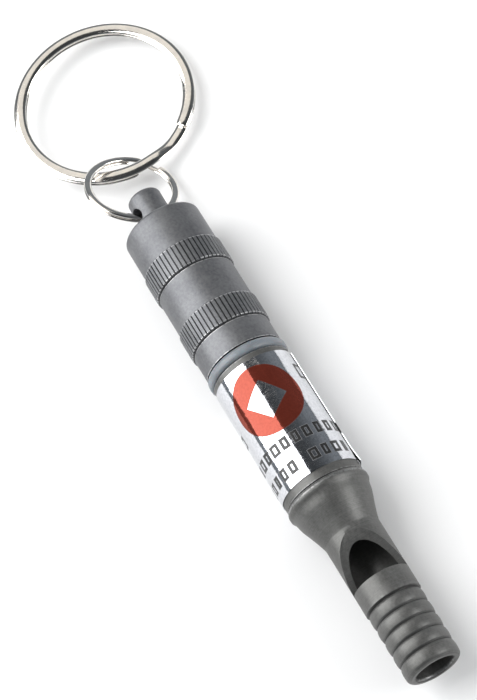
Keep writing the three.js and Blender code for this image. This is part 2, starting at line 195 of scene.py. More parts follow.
cap_low, cap_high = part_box("cap")
AXIS = (cap_low + cap_high) / 2 / MM
TIP, CAP_END = ends("cap")
NECK_START, TUBE_END = ends("capsule_tube")
TUBE_START = ends("cap_seal")[1] + GAP
LABEL_START, LABEL_END = ends("foil_label")
SPIGOT_START, MOUTH = ends("whistle_body")
PLUG_START, PLUG_END = ends("windway_plug")
CAP_START = TIP + POST_LENGTH
JOINT = TUBE_END + GAP
THREAD_START = NECK_START + (NECK_LENGTH - THREAD_TURNS * PITCH) / 2
THREAD_END = THREAD_START + THREAD_TURNS * PITCH
CAP_THREAD = CAP_RADIUS - CAP_THREAD_WALL
NECK_THREAD = CAP_THREAD - THREAD_PLAY
SEAL_SEAT = NECK_THREAD - SEAL_SEAT_DEPTH
TUBE_BORE = NECK_THREAD - NECK_WALL
SPIGOT_RADIUS = TUBE_RADIUS - SOCKET_WALL - GAP
SHOULDER_RADIUS = TUBE_RADIUS + SHOULDER_PROUD
FUNNEL_START = JOINT + SHOULDER_RISE + SHOULDER_LAND
FUNNEL_END = FUNNEL_START + FUNNEL_LENGTH
WINDOW_START = FUNNEL_END + NECK_LAND
WINDOW_END = WINDOW_START + WINDOW_LENGTH
RIB_START = WINDOW_END + RIB_LAND


# ---------------------------------------------------------------- mesh helpers

def place(x, across, up):
    """A point at station x, measured from the whistle's axis, in metres."""
    return Vector((x, AXIS.y + across, AXIS.z + up)) * MM


def arc(cx, cr, radius, start, stop, steps=6):
    """Profile points of an arc about (cx, cr), in degrees, 0 along +X and 90 outwards."""
    angles = [math.radians(start + (stop - start) * i / steps) for i in range(steps + 1)]
    return [(cx + radius * math.cos(a), cr + radius * math.sin(a)) for a in angles]


def softened(profile, size, closed=False, least=25):
    """The profile with rounded corners; a rounded point has a mark of 1 where the corner sticks out, for edge wear
    with a painted highlight.
    """
    points = [Vector(p[:2]) for p in profile]
    count = len(points)
    out = []
    for i, p in enumerate(points):
        if not closed and i in (0, count - 1):
            out.append((p.x, p.y, 0.0))
            continue
        before = points[i - 1] - p
        after = points[(i + 1) % count] - p
        turn = math.degrees(math.pi - before.angle(after))
        if turn < least:
            out.append((p.x, p.y, 0.0))
            continue
        reach = min(size, before.length * CORNER_REACH, after.length * CORNER_REACH)
        a = p + before.normalized() * reach
        b = p + after.normalized() * reach
        sticks_out = before.x * after.y - before.y * after.x > 0
        support = min(2 * reach, before.length * SUPPORT_REACH)
        out.append((*(p + before.normalized() * support), 0.0))
        for share in CORNER_SHARES:
            q = a.lerp(p, share).lerp(p.lerp(b, share), share)
            out.append((q.x, q.y, 1.0 if sticks_out else 0.0))
        support = min(2 * reach, after.length * SUPPORT_REACH)
        out.append((*(p + after.normalized() * support), 0.0))
    return out


def finish_mesh(name, bm, sharp=30.0):
    """An object from a bmesh, smooth but for its sharp edges."""
    bmesh.ops.recalc_face_normals(bm, faces=bm.faces)
    mesh = bpy.data.meshes.new(name)
    bm.to_mesh(mesh)
    bm.free()
    obj = bpy.data.objects.new(name, mesh)
    bpy.context.scene.collection.objects.link(obj)
    smooth(obj, sharp)
    return obj


def smooth(obj, sharp=30.0):
    obj.data.shade_smooth()
    obj.data.set_sharp_from_angle(angle=math.radians(sharp))


def even_angles(count):
    return [2 * math.pi * i / count for i in range(count)]


def turned(name, profile, closed=False, angles=None, shape=None, sharp=30.0, shade_from_radius=None):
    """A profile of (x, r) or (x, r, mark) points turned about the whistle's axis; a mark above 0 is edge wear with
    a painted highlight.
    Angles run from the top towards +Y. shape(x, r, angle) may move a point in or out,
    and a point from beyond the given shade radius that moves in by more than DEEP gets a mark of -1,
    for painted shade in a groove."""
    angles = angles or even_angles(SEGMENTS)
    bm = bmesh.new()
    # Per-point mark: edge wear with a painted highlight above 0, painted shade in grooves below 0.
    wear_and_painted_light = bm.verts.layers.float.new("wear_and_painted_light")
    rows = []
    for point in profile:
        x, r = point[:2]
        row = []
        for angle in [0.0] if r < ON_AXIS else angles:
            radius = shape(x, r, angle) if shape else r
            vert = bm.verts.new(place(x, radius * math.sin(angle), radius * math.cos(angle)))
            vert[wear_and_painted_light] = point[2] if len(point) > 2 else 0.0
            # A point pressed more than DEEP into a groove gets painted shade.
            if shade_from_radius is not None and r > shade_from_radius and r - radius > DEEP:
                vert[wear_and_painted_light] = -1.0
            row.append(vert)
        rows.append(row)
    pairs = list(zip(rows, rows[1:] + rows[:1])) if closed else list(zip(rows, rows[1:]))
    for a, b in pairs:
        join_rows(bm, a, b)
    return finish_mesh(name, bm, sharp)


def join_rows(bm, a, b):
    count = max(len(a), len(b))
    for i in range(count):
        j = (i + 1) % count
        corners = [a[i % len(a)], a[j % len(a)], b[j % len(b)], b[i % len(b)]]
        corners = [v for k, v in enumerate(corners) if v is not corners[k - 1]]
        if len(corners) > 2:
            bm.faces.new(corners)


def prism(name, outline, start, stop):
    """A solid from an (across, up) outline, from station start to station stop."""
    bm = bmesh.new()
    rows = [[bm.verts.new(place(x, a, u)) for a, u in outline] for x in (start, stop)]
    join_rows(bm, *rows)
    bm.faces.new(rows[0])
    bm.faces.new(rows[1])
    return finish_mesh(name, bm)


def cut(obj, *cutters):
    """Takes the cutters away from obj, for good."""
    for cutter in cutters:
        modifier = obj.modifiers.new("cut", "BOOLEAN")
        modifier.operation = "DIFFERENCE"
        modifier.solver = "EXACT"
        modifier.object = cutter
    bpy.context.view_layer.update()
    made = bpy.data.meshes.new_from_object(obj.evaluated_get(bpy.context.evaluated_depsgraph_get()))
    obj.modifiers.clear()
    old = obj.data
    obj.data = made
    made.name = obj.name
    bpy.data.meshes.remove(old)
    for cutter in cutters:
        bpy.data.objects.remove(cutter)
    smooth(obj)


def thread_wave(x, angle):
    """The thread's height about its mean radius, as the CAD source has it."""
    along = (x - THREAD_START) / PITCH
    fade = min(1, along / THREAD_FADE, (THREAD_TURNS - along) / THREAD_FADE)
    return max(fade, 0) * THREAD_DEPTH * math.cos(2 * math.pi * along + angle) / 2


def thread_rows(radius):
    rows = round(THREAD_TURNS * THREAD_SAMPLES)
    return [(THREAD_START + THREAD_TURNS * PITCH * i / rows, radius) for i in range(rows + 1)]


def threaded_at(radius):
    return lambda x, r, angle: r + thread_wave(x, angle) if abs(r - radius) < SAME_RADIUS else r


# ---------------------------------------------------------------- pieces

def make_cap():
    """Post with a cross hole, rounded shoulder, two knurled bands and the thread inside."""
    angles = [2 * math.pi * (k + share) / KNURLS for k in range(KNURLS) for share in KNURL_STEPS]
    top = CAP_RADIUS + BAND_HEIGHT
    cavity = CAP_RADIUS - CAP_WALL
    cavity_end = NECK_START - 2 * GAP
    entry = CAP_THREAD + THREAD_DEPTH / 2 + CAP_ENTRY_PLAY
    outside = [(TIP, 0.0), (TIP, POST_RADIUS - POST_ROUND)]
    outside += arc(TIP + POST_ROUND, POST_RADIUS - POST_ROUND, POST_ROUND, 180, 90)[1:]
    outside += [(CAP_START, POST_RADIUS)]
    outside += arc(CAP_START + CAP_EDGE_ROUND, CAP_RADIUS - CAP_EDGE_ROUND, CAP_EDGE_ROUND, 180, 90, 8)
    for i in range(2):
        start = CAP_START + BAND_UPPER_LAND + i * BAND_SPACING
        outside += [
            (start, CAP_RADIUS),
            (start + BAND_CHAMFER / 2, top),
            (start + BAND_WIDTH - BAND_CHAMFER / 2, top),
            (start + BAND_WIDTH, CAP_RADIUS - UNDERCUT),
            (start + BAND_WIDTH + UNDERCUT, CAP_RADIUS - UNDERCUT),
            (start + BAND_WIDTH + 2 * UNDERCUT, CAP_RADIUS),
        ]
    outside += [(CAP_END, CAP_RADIUS), (CAP_END, entry), (THREAD_END + GAP, entry)]
    inside = [
        (cavity_end, CAP_THREAD),
        (cavity_end - CAP_THREAD + cavity, cavity),
        (CAP_START + CAP_ROOF, cavity),
        (CAP_START + CAP_ROOF, 0.0),
    ]
    threads = list(reversed(thread_rows(CAP_THREAD)))
    # Painted shade on the turned line below each band; the knurl grooves get it in turned().
    shaded_below = CAP_RADIUS - UNDERCUT / 2
    skin = []
    for x, r, wear_and_painted_light in softened(outside, CAP_EDGE):
        in_turned_line = x > CAP_START + BAND_UPPER_LAND and entry + CAP_ENTRY_MARGIN < r < shaded_below
        skin.append((x, r, -1.0 if in_turned_line else wear_and_painted_light))
    profile = skin + threads + softened(inside, CAP_INNER_EDGE)
    threaded = threaded_at(CAP_THREAD)

    def shape(x, r, angle):
        share = angle * KNURLS / (2 * math.pi) % 1
        floor = KNURL_GROOVE[0] - SHARE_SLACK <= share <= KNURL_GROOVE[1] + SHARE_SLACK
        if r > CAP_RADIUS + KNURL_RUN_IN and floor:
            return max(r - KNURL_DEPTH, CAP_RADIUS + KNURL_FLOOR)
        return threaded(x, r, angle)

    cap = turned("cap_shell", profile, angles=angles, shape=shape, shade_from_radius=CAP_RADIUS)
    cut(cap, post_hole())
    return cap


def post_hole():
    """Cutter for the post's cross hole, opening a little at both mouths."""
    joint = next(j for j in frame["joints"] if j["name"] == "link_ring_swing")
    centre = Vector(joint["pos_m"])
    axis = Vector(joint["axis"]).normalized()
    turn = Vector((0, 0, 1)).rotation_difference(axis).to_matrix()
    bm = bmesh.new()
    rows = []
    mouth = POST_RADIUS - HOLE_LIP
    flared = HOLE_RADIUS + 2 * HOLE_LIP
    for along, flare in (
        (-2 * POST_RADIUS, flared),
        (-mouth, HOLE_RADIUS),
        (mouth, HOLE_RADIUS),
        (2 * POST_RADIUS, flared),
    ):
        row = [Vector((flare * math.cos(a), flare * math.sin(a), along)) for a in even_angles(HOLE_SEGMENTS)]
        rows.append([bm.verts.new(centre + turn @ (v * MM)) for v in row])
    for a, b in zip(rows, rows[1:]):
        join_rows(bm, a, b)
    bm.faces.new(rows[0])
    bm.faces.new(rows[-1])
    return finish_mesh("hole_cutter", bm)


def make_seal():
    """Rubber ring squeezed between the cap and the tube, bulging outwards."""
    start, stop = ends("cap_seal")
    middle, half = (start + stop) / 2, (stop - start) / 2
    inner = SEAL_SEAT + GAP
    depth = (CAP_RADIUS + SEAL_PROUD - inner) / 2
    profile = []
    for angle in even_angles(SEAL_SEGMENTS):
        c, s = math.cos(angle), math.sin(angle)
        flat = math.copysign(abs(c) ** SEAL_FLATNESS, c)
        bulge = math.copysign(abs(s) ** SEAL_BULGE, s)
        profile.append((middle - half * flat, inner + depth + depth * bulge))
    return turned("seal_ring", profile, closed=True, sharp=SEAL_SHARP)


def make_tube():
    """Threaded neck, seat for the seal, barrel and socket."""
    neck_top = NECK_THREAD - THREAD_DEPTH / 2
    socket = SPIGOT_RADIUS + GAP
    socket_floor = JOINT - SPIGOT_LENGTH - GAP
    neck = [(NECK_START, TUBE_BORE), (NECK_START, neck_top), (THREAD_START - GAP, neck_top)]
    barrel = [
        (THREAD_END + GAP, SEAL_SEAT),
        (TUBE_START, SEAL_SEAT),
        (TUBE_START, TUBE_RADIUS),
        (TUBE_END, TUBE_RADIUS),
        (TUBE_END, socket),
        (socket_floor, socket),
        (socket_floor, TUBE_BORE),
    ]
    profile = softened(neck, EDGE_BREAK) + thread_rows(NECK_THREAD) + softened(barrel, CRISP_EDGE)
    return turned("tube_shell", profile, closed=True, shape=threaded_at(NECK_THREAD))


def make_label():
    """Foil wrap with a lapped edge whose corner by the whistle stands off."""
    wrap = 2 * math.pi + LABEL_OVERLAP
    length = LABEL_END - LABEL_START
    bm = bmesh.new()
    roll = bm.verts.layers.float_vector.new("roll")

    def lift(turn, along):
        lap = (turn - 2 * math.pi + LABEL_OVERLAP) / LABEL_OVERLAP
        if lap <= 0:
            return 0.0
        loose = max(0.0, (along - (length - LABEL_CORNER)) / LABEL_CORNER)
        at_corner = (1 - LABEL_EDGE_LIFT) * loose ** LABEL_CURL_POWER
        curl = LABEL_LIFT * max(0.0, lap - 1) * (LABEL_EDGE_LIFT + at_corner)
        return (LABEL_THICKNESS + LABEL_GAP) * min(1.0, lap) + curl

    def skin(offset):
        rows = []
        for i in range(LABEL_STEPS + 1):
            turn = wrap * i / LABEL_STEPS
            # The seam's angle is measured from the top towards +Y; the wrap then rises over the top.
            angle = LABEL_SEAM - turn
            row = []
            for j in range(LABEL_ROWS + 1):
                along = length * j / LABEL_ROWS
                radius = TUBE_RADIUS + LABEL_GAP + offset + lift(turn, along)
                spot = place(LABEL_START + along, radius * math.sin(angle), radius * math.cos(angle))
                vert = bm.verts.new(spot)
                vert[roll] = Vector((TUBE_RADIUS * angle, along, 0.0))
                row.append(vert)
            rows.append(row)
        return rows

    outer, inner = skin(LABEL_THICKNESS), skin(0.0)
    for rows in (outer, inner):
        for a, b in zip(rows, rows[1:]):
            for k in range(LABEL_ROWS):
                bm.faces.new((a[k], a[k + 1], b[k + 1], b[k]))
    for k in range(LABEL_STEPS):
        for j in (0, LABEL_ROWS):
            bm.faces.new((outer[k][j], outer[k + 1][j], inner[k + 1][j], inner[k][j]))
    for k in range(LABEL_ROWS):
        for i in (0, LABEL_STEPS):
            bm.faces.new((outer[i][k], outer[i][k + 1], inner[i][k + 1], inner[i][k]))
    return finish_mesh("label_wrap", bm)


def make_whistle():
    """Spigot, shoulder, funnel, neck with its window, ribs and rounded lip, bored from the mouth."""
    groove = JOINT - (SPIGOT_LENGTH + SPIGOT_GROOVE_WIDTH) / 2
    groove_floor = SPIGOT_RADIUS - SPIGOT_GROOVE_DEPTH
    lip_radius = NECK_RADIUS - LIP_STEP
    outline = [
        (SPIGOT_START, 0.0),
        (SPIGOT_START, SPIGOT_RADIUS),
        (groove, SPIGOT_RADIUS),
        (groove, groove_floor),
        (groove + SPIGOT_GROOVE_WIDTH, groove_floor),
        (groove + SPIGOT_GROOVE_WIDTH, SPIGOT_RADIUS),
        (JOINT, SPIGOT_RADIUS),
        (JOINT, TUBE_RADIUS + LABEL_THICKNESS / 2),
        (JOINT + SHOULDER_RISE, SHOULDER_RADIUS),
        (FUNNEL_START, SHOULDER_RADIUS - SHOULDER_TAPER),
    ]
    profile = softened(outline, CRISP_EDGE)
    profile += funnel_rows()
    profile += rib_rows()
    profile += arc(MOUTH - LIP_ROUND, lip_radius - LIP_ROUND, LIP_ROUND, 90, 0, 10)[1:]
    inside = [
        (MOUTH, BORE_RADIUS + MOUTH_CHAMFER),
        (MOUTH - MOUTH_CHAMFER, BORE_RADIUS),
        (WINDOW_END, BORE_RADIUS),
        (WINDOW_END - CHAMBER_RADIUS + BORE_RADIUS, CHAMBER_RADIUS),
        (WINDOW_START, CHAMBER_RADIUS),
        (JOINT + CHAMBER_FLOOR + CHAMBER_RADIUS / 2, CHAMBER_RADIUS),
        (JOINT + CHAMBER_FLOOR, CHAMBER_RADIUS / 2),
        (JOINT + CHAMBER_FLOOR, 0.0),
    ]
    profile += softened(inside, EDGE_BREAK)
    whistle = turned("whistle_shell", profile)
    cut(whistle, window_wedge())
    return whistle


def funnel_rows():
    """The funnel: a rounded corner below the shoulder, a nearly straight cone, a crisp start of the neck."""
    control = [(share, SHOULDER_RADIUS - drop) for share, drop in FUNNEL_DROPS]
    control += [(share, NECK_RADIUS + rise) for share, rise in FUNNEL_RISES]
    rows = []
    for i in range(1, FUNNEL_STEPS + 1):
        share = i / FUNNEL_STEPS
        rows.append((FUNNEL_START + share * FUNNEL_LENGTH, interpolate(control, share)))
    rows.append((FUNNEL_END + FUNNEL_RUN_OUT, NECK_RADIUS))
    return rows


def interpolate(control, share):
    """Smooth curve through (share, value) control points."""
    k = max(i for i in range(len(control) - 1) if control[i][0] <= share or i == 0)
    x0, y0 = control[k]
    x1, y1 = control[k + 1]
    t = (share - x0) / (x1 - x0)
    m0 = slope(control, k)
    m1 = slope(control, k + 1)
    h = x1 - x0
    return (
        (2 * t ** 3 - 3 * t ** 2 + 1) * y0 + (t ** 3 - 2 * t ** 2 + t) * h * m0
        + (3 * t ** 2 - 2 * t ** 3) * y1 + (t ** 3 - t ** 2) * h * m1
    )


def slope(control, k):
    a = control[max(k - 1, 0)]
    b = control[min(k + 1, len(control) - 1)]
    return (b[1] - a[1]) / (b[0] - a[0])


def rib_rows():
    """Crisp grooves with rounded ribs between them; painted shade in the grooves, edge wear with a painted
    highlight before the first.
    """
    spacing = (MOUTH - LIP_LAND - RIB_START) / RIB_COUNT
    crest = NECK_RADIUS - RIB_CREST
    floor = NECK_RADIUS - RIB_DEPTH
    rows = [
        (WINDOW_END + WINDOW_CLEAR, NECK_RADIUS),
        (RIB_START - RIB_APPROACH, NECK_RADIUS),
        (RIB_START - RIB_EDGE, NECK_RADIUS, RIB_EDGE_WEAR_AND_HIGHLIGHT),
    ]
    for i in range(RIB_COUNT):
        groove = RIB_START + i * spacing
        rows += [(groove + past, floor + height, wear_and_painted_light) for past, height, wear_and_painted_light in GROOVE_SHAPE]
        rib = RIB_SHAPE[:LAST_RIB_POINTS] if i == RIB_COUNT - 1 else RIB_SHAPE
        rows += [(groove + share * spacing, crest - drop) for share, drop in rib]
    return rows


def window_wedge():
    """Cutter for the window: a ramp down from the top of the neck to a square wall."""
    rise = WINDOW_DEPTH / WINDOW_LENGTH
    over = WINDOW_DEPTH / 2
    side = [
        (WINDOW_START - over / rise, NECK_RADIUS + over),
        (WINDOW_END, NECK_RADIUS - WINDOW_DEPTH),
        (WINDOW_END, NECK_RADIUS + over),
    ]
    bm = bmesh.new()
    width = 2 * NECK_RADIUS
    rows = [[bm.verts.new(place(x, across, up)) for x, up in side] for across in (-width, width)]
    join_rows(bm, *rows)
    bm.faces.new(rows[0])
    bm.faces.new(rows[1])
    return finish_mesh("window_cutter", bm)


def make_plug():
    """Moulded plug with a flat top, which leaves the windway."""
    radius = BORE_RADIUS - GAP
    flat = BORE_RADIUS - WINDWAY_HEIGHT
    edge = math.asin(flat / radius)
    outline = []
    for i in range(PLUG_STEPS + 1):
        angle = edge - (math.pi + 2 * edge) * i / PLUG_STEPS
        outline.append((radius * math.cos(angle), radius * math.sin(angle)))
    plug = prism("plug_block", outline, PLUG_START, PLUG_END)
    bevel = plug.modifiers.new("edges", "BEVEL")
    bevel.width = PLUG_EDGE * MM
    bevel.segments = 3
    bevel.limit_method = "ANGLE"
    return plug


def wire_section(width, height, steps=28):
    """Outline of half-round wire pressed a little flat, as (outwards, up) points."""
    outline = []
    for angle in even_angles(steps):
        c, s = math.cos(angle), math.sin(angle)
        across = math.copysign(abs(c) ** WIRE_SQUARENESS, c)
        up = math.copysign(abs(s) ** WIRE_SQUARENESS, s)
        outline.append((width / 2 * across, height / 2 * up))
    return outline


def coil_point(share, mean, step, end):
    """Centre of the wire of a split ring's two coils; it changes layer just before it has gone round once."""
    turn = share * (2 - 2 * CLIMB)
    t = min(1.0, max(0.0, (turn - 1 + CLIMB_LEAD * CLIMB) / CLIMB))
    climbed = t * t * (3 - 2 * t)
    angle = end + 2 * math.pi * turn
    return Vector((mean * math.cos(angle), mean * math.sin(angle), step * (climbed - 0.5)))


def make_split_ring(name, mean, wire, end, hand, matrix):
    """Two coils of flat wire with squared ends; matrix takes the ring's own frame to the row frame."""
    section = wire_section(*wire)
    step = hand * (wire[1] + RING_PLAY)
    bm = bmesh.new()
    rows = []
    for i in range(COIL_STEPS + 1):
        centre = coil_point(i / COIL_STEPS, mean, step, end)
        outwards = Vector((centre.x, centre.y, 0)).normalized()
        shrink = END_TAPER if i in (0, COIL_STEPS) else 1.0
        row = [centre + outwards * (a * shrink) + Vector((0, 0, b * shrink)) for a, b in section]
        rows.append([bm.verts.new(matrix @ (point * MM)) for point in row])
    for a, b in zip(rows, rows[1:]):
        join_rows(bm, a, b)
    bm.faces.new(rows[0])
    bm.faces.new(rows[-1])
    return finish_mesh(name, bm)


def link_ring_matrix():
    """The link ring's plane holds the post hole's axis and droops away from the post."""
    joint = next(j for j in frame["joints"] if j["name"] == "link_ring_swing")
    hole_axis = Vector(joint["axis"]).normalized()
    down = Vector((0, hole_axis.z, -hole_axis.y))
    away = Vector((-math.cos(LINK_DROOP), 0, 0)) + down * math.sin(LINK_DROOP)
    normal = away.cross(hole_axis)
    bow = LINK_MEAN - math.sqrt(LINK_MEAN ** 2 - POST_RADIUS ** 2)
    centre = Vector(joint["pos_m"]) + (away * (LINK_MEAN - bow / 2) + normal * LINK_SAG) * MM
    return framed(away, hole_axis, normal, centre)


def key_ring_matrix():
    mount = next(m for m in record["mounts"] if m["name"] == "key_ring_loop")
    turn = Matrix.Rotation(KEY_ROLL, 3, "X")
    return framed(*turn.col, Vector(mount["pos_m"]))


def framed(x, y, z, origin):
    """The matrix whose axes and origin these are."""
    matrix = Matrix((x, y, z)).transposed().to_4x4()
    matrix.translation = origin
    return matrix


# ---------------------------------------------------------------- materials

def node(tree, kind, inputs=None, **settings):
    """A shader node; an input's value is a number, a colour or another node's output."""
    made = tree.nodes.new(kind)
    for key, value in settings.items():
        setattr(made, key, value)
    for key, value in (inputs or {}).items():
        if isinstance(value, bpy.types.NodeSocket):
            tree.links.new(value, made.inputs[key])
        else:
            made.inputs[key].default_value = value
    return made


def math_node(tree, operation, a, b=0.0, clamp=False):
    return node(tree, "ShaderNodeMath", {0: a, 1: b}, operation=operation, use_clamp=clamp).outputs[0]


def mixed(tree, factor, a, b):
    """Colour a where the factor is 0 and b where it is 1."""
    made = node(tree, "ShaderNodeMix", data_type="RGBA")
    for socket, value in zip((made.inputs[0], made.inputs[6], made.inputs[7]), (factor, a, b)):
        if isinstance(value, bpy.types.NodeSocket):
            tree.links.new(value, socket)
        else:
            socket.default_value = value
    return made.outputs[2]


def remapped(tree, value, low, high, new_low=0.0, new_high=1.0):
    inputs = {0: value, 1: low, 2: high, 3: new_low, 4: new_high}
    return node(tree, "ShaderNodeMapRange", inputs).outputs[0]


def noise(tree, where, scale, detail=3.0, roughness=0.5):
    inputs = {"Vector": where, "Scale": scale, "Detail": detail, "Roughness": roughness}
    return node(tree, "ShaderNodeTexNoise", inputs).outputs[0]


def grey(value, tint=(1.0, 1.0, 1.0)):
    return (value * tint[0], value * tint[1], value * tint[2], 1.0)


def new_material(name):
    """A material, its node tree, its Principled shader and the object coordinates."""
    made = bpy.data.materials.new(name)
    made.use_nodes = True
    tree = made.node_tree
    shader = next(n for n in tree.nodes if n.type == "BSDF_PRINCIPLED")
    where = node(tree, "ShaderNodeTexCoord").outputs["Object"]
    return made, tree, shader, where


def connect(tree, shader, **sockets):
    for key, value in sockets.items():
        socket = shader.inputs[key.replace("_", " ")]
        if isinstance(value, bpy.types.NodeSocket):
            tree.links.new(value, socket)
        else:
            socket.default_value = value


def bump(tree, height, distance, strength, normal=None):
    inputs = {"Height": height, "Distance": distance, "Strength": strength}
    if normal is not None:
        inputs["Normal"] = normal
    return node(tree, "ShaderNodeBump", inputs).outputs[0]


OXIDE_METAL = 0.68  # the rest of an anodised skin scatters light
BLOTCH_SHARE = 0.45  # of the tone; the rest is fine speckle
# Share of the rubbed-edge colour, edge wear with a painted highlight, that is mixed in.
RUB_AND_HIGHLIGHT_COVER = 0.75
RUB_POLISH = 0.16  # what rubbing takes off the roughness
# Share of near-black painted shade in grooves and turned lines.
PAINTED_SHADE_COVER = 0.8


def blasted_metal(name, dark, light, worn_and_highlit, lathe_marks):
    """Bead-blasted grey anodised aluminium: fine grain, slow blotches, faint turning marks, rubbed edges with a
    painted highlight and painted shade in grooves.
    """
    made, tree, shader, where = new_material(name)
    grain = noise(tree, where, scale=5200.0, detail=2.0, roughness=0.6)
    speckle = noise(tree, where, scale=2100.0, detail=4.0, roughness=0.65)
    blotch = noise(tree, where, scale=170.0, detail=4.0, roughness=0.55)
    along = node(tree, "ShaderNodeSeparateXYZ", {0: where}).outputs[0]
    marks = node(
        tree, "ShaderNodeTexNoise",
        {"W": math_node(tree, "MULTIPLY", along, 2600.0), "Detail": 3.0}, noise_dimensions="1D",
    ).outputs[0]
    fine = math_node(tree, "MULTIPLY", speckle, 1 - BLOTCH_SHARE)
    tone = math_node(tree, "ADD", fine, math_node(tree, "MULTIPLY", blotch, BLOTCH_SHARE))
    turning = math_node(tree, "MULTIPLY", math_node(tree, "SUBTRACT", marks, 0.5), lathe_marks)
    tone = math_node(tree, "ADD", tone, turning)
    colour = mixed(tree, remapped(tree, tone, 0.39, 0.61), dark, light)
    wear_and_painted_light = node(tree, "ShaderNodeAttribute", attribute_name="wear_and_painted_light").outputs["Fac"]
    edge = math_node(tree, "MAXIMUM", wear_and_painted_light, 0.0)
    # Rubbed edges: edge wear with a painted highlight; the rubbing also polishes.
    rubbed_and_highlit = math_node(tree, "MULTIPLY", edge, remapped(tree, speckle, 0.38, 0.55))
    # Painted shade: grooves and turned lines are mixed towards near black.
    painted_groove_shade = math_node(tree, "MULTIPLY", math_node(tree, "MINIMUM", wear_and_painted_light, 0.0), -PAINTED_SHADE_COVER)
    colour = mixed(tree, math_node(tree, "MULTIPLY", rubbed_and_highlit, RUB_AND_HIGHLIGHT_COVER), colour, worn_and_highlit)
    colour = mixed(tree, painted_groove_shade, colour, grey(0.02))
    rough = remapped(tree, speckle, 0.3, 0.7, 0.40, 0.50)
    rough = math_node(tree, "SUBTRACT", rough, math_node(tree, "MULTIPLY", rubbed_and_highlit, RUB_POLISH))
    skin = bump(tree, grain, distance=0.00002, strength=0.5)
    skin = bump(tree, marks, distance=0.000012, strength=0.5 * lathe_marks, normal=skin)
    connect(tree, shader, Base_Color=colour, Metallic=OXIDE_METAL, Roughness=rough, Normal=skin)
    shader.inputs["Specular IOR Level"].default_value = 0.2
    return made


def nickel_plate(name):
    """Bright nickel over steel: slight waviness, fine scratches along the wire, faint yellowing."""
    made, tree, shader, where = new_material(name)
    wave = noise(tree, where, scale=420.0, detail=2.0)
    scratch = noise(tree, where, scale=2600.0, detail=3.0, roughness=0.7)
    pale, deep = grey(0.86, (1.0, 0.965, 0.91)), grey(0.78, (1.0, 0.97, 0.93))
    colour = mixed(tree, remapped(tree, wave, 0.35, 0.65), pale, deep)
    rough = remapped(tree, scratch, 0.35, 0.7, 0.07, 0.17)
    skin = bump(tree, wave, distance=0.00005, strength=0.35)
    connect(tree, shader, Base_Color=colour, Metallic=1.0, Roughness=rough, Normal=skin)
    return made


def silicone_rubber(name, colour, light):
    """Satin translucent rubber with a little dust."""
    made, tree, shader, where = new_material(name)
    cloud = noise(tree, where, scale=380.0, detail=3.0)
    dust = noise(tree, where, scale=3100.0, detail=2.0)
    tone = mixed(tree, remapped(tree, cloud, 0.35, 0.65), colour, light)
    tone = mixed(tree, remapped(tree, dust, 0.62, 0.75, 0.0, 0.25), tone, grey(0.6))
    rough = remapped(tree, cloud, 0.3, 0.7, 0.3, 0.42)
    skin = bump(tree, dust, distance=0.00001, strength=0.4)
    connect(tree, shader, Base_Color=tone, Roughness=rough, Normal=skin)
    shader.inputs["Subsurface Weight"].default_value = 0.25
    shader.inputs["Subsurface Scale"].default_value = 0.001
    shader.inputs["Specular IOR Level"].default_value = 0.6
    return made


def moulded_plastic(name):
    made, tree, shader, where = new_material(name)
    grain = noise(tree, where, scale=2600.0, detail=4.0)
    colour = mixed(tree, grain, grey(0.012), grey(0.035))
    rough = remapped(tree, grain, 0.3, 0.7, 0.42, 0.6)
    skin = bump(tree, grain, distance=0.00001, strength=0.4)
    connect(tree, shader, Base_Color=colour, Roughness=rough, Normal=skin)
    return made


def plain_paper(name):
    made, tree, shader, where = new_material(name)
    fibre = noise(tree, where, scale=1900.0, detail=5.0, roughness=0.7)
    colour = mixed(tree, fibre, grey(0.72, (1.0, 0.98, 0.92)), grey(0.86, (1.0, 0.99, 0.96)))
    rough = remapped(tree, fibre, 0.3, 0.7, 0.8, 0.95)
    skin = bump(tree, fibre, distance=0.00003, strength=0.5)
    connect(tree, shader, Base_Color=colour, Roughness=rough, Normal=skin)
    return made


# Label print, in millimetres round the tube from the top (towards +Y) and along it from the cap's edge
DISC_SPOT = (-0.25, 7.4)
DISC_RADIUS = 6.15
DIAMOND_HALF = 2.6
DIAMOND_STRETCH = 1.35
DIAMOND_TURN = math.radians(8)
PRINT_EDGE = 0.05
PRINT_RAGGEDNESS = 0.12
INK_LIGHT = (0.25, 0.047, 0.029, 1.0)
INK_DARK = (0.21, 0.038, 0.023, 1.0)
INK_COVER = 0.3  # how much of the foil's metal look the red ink takes away
MARK_ROWS = (
    # station, half height, spacing and offset round the tube of rows of little frames
    (15.6, 1.05, 2.02, 0.4),
    (19.7, 1.05, 2.02, 1.3),
)
MARK_STROKE = 0.52
MARK_HALF_WIDTHS = (0.52, 0.82)
MARK_GAPS = 0.16  # share of the places in a row that stay empty
SIDE_MARKS = (
    # round the tube, station, half width, half height: frames beside the disc
    (9.0, 4.3, 1.35, 1.5),
    (12.4, 4.3, 1.35, 1.5),
    (-9.6, 9.7, 1.0, 1.2),
    (-12.2, 9.7, 1.0, 1.2),
)


